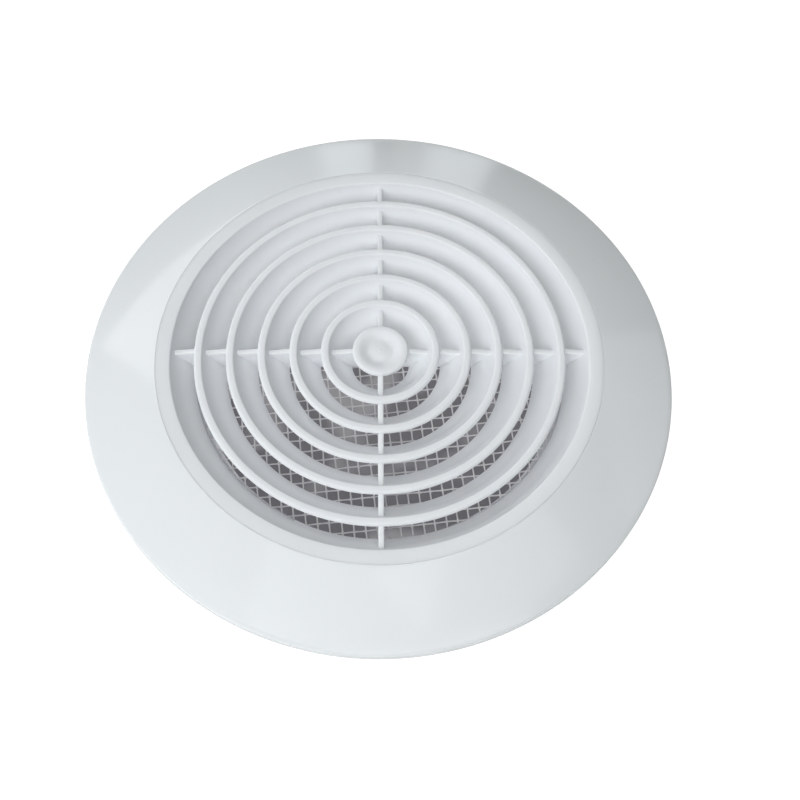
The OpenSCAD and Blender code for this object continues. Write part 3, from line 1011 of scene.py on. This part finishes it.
LAMP_DISTANCE = 1.5
OVERHEAD_COLOR = (1.0, 1.0, 0.965)
LAMP_COLOR = (0.985, 1.0, 1.01)
LAMPS = [   # azimuth and elevation (degrees), watts, width and height (m), seen in reflections
    (235, 35, 12.0, 1.2, 0.9, False),
    (80, 84, 5.2, 0.9, 0.9, True),
    (180, 14, 7.0, 2.4, 0.5, False),
    (315, 60, 1.9, 1.0, 0.8, True),
    (130, 35, 3.4, 1.0, 0.8, True),
    (255, 60, 2.0, 1.0, 0.8, True),
    (285, 35, 2.9, 1.3, 0.8, True),
    (15, 28, 1.0, 1.0, 0.6, True),
]
for azimuth, elevation, watts, width, height, reflected in LAMPS:
    name = f"softbox_{azimuth}_{elevation}"
    light = bpy.data.lights.new(name, "AREA")
    light.energy = watts
    light.color = OVERHEAD_COLOR if elevation > 80 else LAMP_COLOR
    light.shape = "RECTANGLE"
    light.size = width
    light.size_y = height
    lamp = bpy.data.objects.new(name, light)
    bpy.context.scene.collection.objects.link(lamp)
    a, e = math.radians(azimuth), math.radians(elevation)
    direction = Vector((math.cos(a) * math.cos(e), math.sin(a) * math.cos(e), math.sin(e)))
    lamp.location = direction * LAMP_DISTANCE
    lamp.rotation_euler = (-direction * LAMP_DISTANCE).to_track_quat("-Z", "Y").to_euler()
    lamp.visible_glossy = reflected

# dim room with pale window stripes low on the +Y side, which the glossy flange mirrors
LIT, DIM, MID = (1.35, 1.43, 1.48), (0.02, 0.025, 0.02), (0.42, 0.46, 0.45)
STRIPES = [     # azimuth (degrees), colour
    (-180, DIM), (60, DIM), (73, DIM), (75, LIT), (82, LIT), (84, MID), (87, MID), (88.5, DIM),
    (90, DIM), (91.5, LIT), (97, LIT), (99, MID), (112, MID), (130, DIM), (180, DIM)]
# elevation (0 horizon, 1 overhead), 1 where the upper room's colour replaces
ELEVATION_MASK = [(0.0, 1.0), (0.30, 1.0), (0.42, 0.0), (1.0, 0.0)]     # 1 shows the stripes
UPPER_ROOM = (0.02, 0.022, 0.022)
BACKDROP = (0.80, 0.81, 0.82)       # what the camera sees directly


def build_world():
    world = bpy.data.worlds.new("studio")
    bpy.context.scene.world = world
    g = Graph(world, "Generated")
    x, y, z = g.node("ShaderNodeSeparateXYZ", {0: g.coords}).node.outputs
    turn = g.calc("DIVIDE", g.calc("ARCTAN2", y, x), 2 * math.pi)
    wall = g.ramp(g.calc("ADD", turn, 0.5), [((deg + 180.0) / 360.0, c) for deg, c in STRIPES])
    elevation = g.calc("DIVIDE", g.calc("ARCSINE", z), math.pi / 2)
    room = g.mix(g.ramp(elevation, ELEVATION_MASK), UPPER_ROOM, wall)
    color = g.mix(camera_ray(g), room, BACKDROP)
    g.finish(g.node("ShaderNodeBackground", {"Color": color, "Strength": 1.0}),
             output="ShaderNodeOutputWorld")


build_world()

# ---------------------------------------------------------------- camera and view

CAMERA_TILT = math.radians(27.02)       # away from straight down
CAMERA_ROLL = math.radians(2.79)
CAMERA_TURN = math.radians(-3.2)        # about the vertical
# camera from the middle of the rim's upper edge, along its own right, up and back (mm)
CAMERA_OFFSET = Vector((6.72549, -12.352941, 350.0))

camera = bpy.data.cameras.new("camera")
camera.sensor_width = 36.0
camera.lens = 45.9
camera.clip_start = 0.01
camera.clip_end = 20
camera_ob = bpy.data.objects.new("camera", camera)
scene = bpy.context.scene
scene.collection.objects.link(camera_ob)
aim = about_z(CAMERA_TURN) @ (Matrix.Rotation(CAMERA_TILT, 3, "X") @ about_z(CAMERA_ROLL))
location = (aim @ CAMERA_OFFSET) * MM + Vector((0, 0, RIM_H * MM))
camera_ob.matrix_world = Matrix.Translation(location) @ aim.to_4x4()
scene.camera = camera_ob

scene.view_settings.view_transform = "Standard"
scene.view_settings.look = "None"
scene.view_settings.exposure = 0.0
scene.view_settings.gamma = 1.0

bpy.context.view_layer.update()
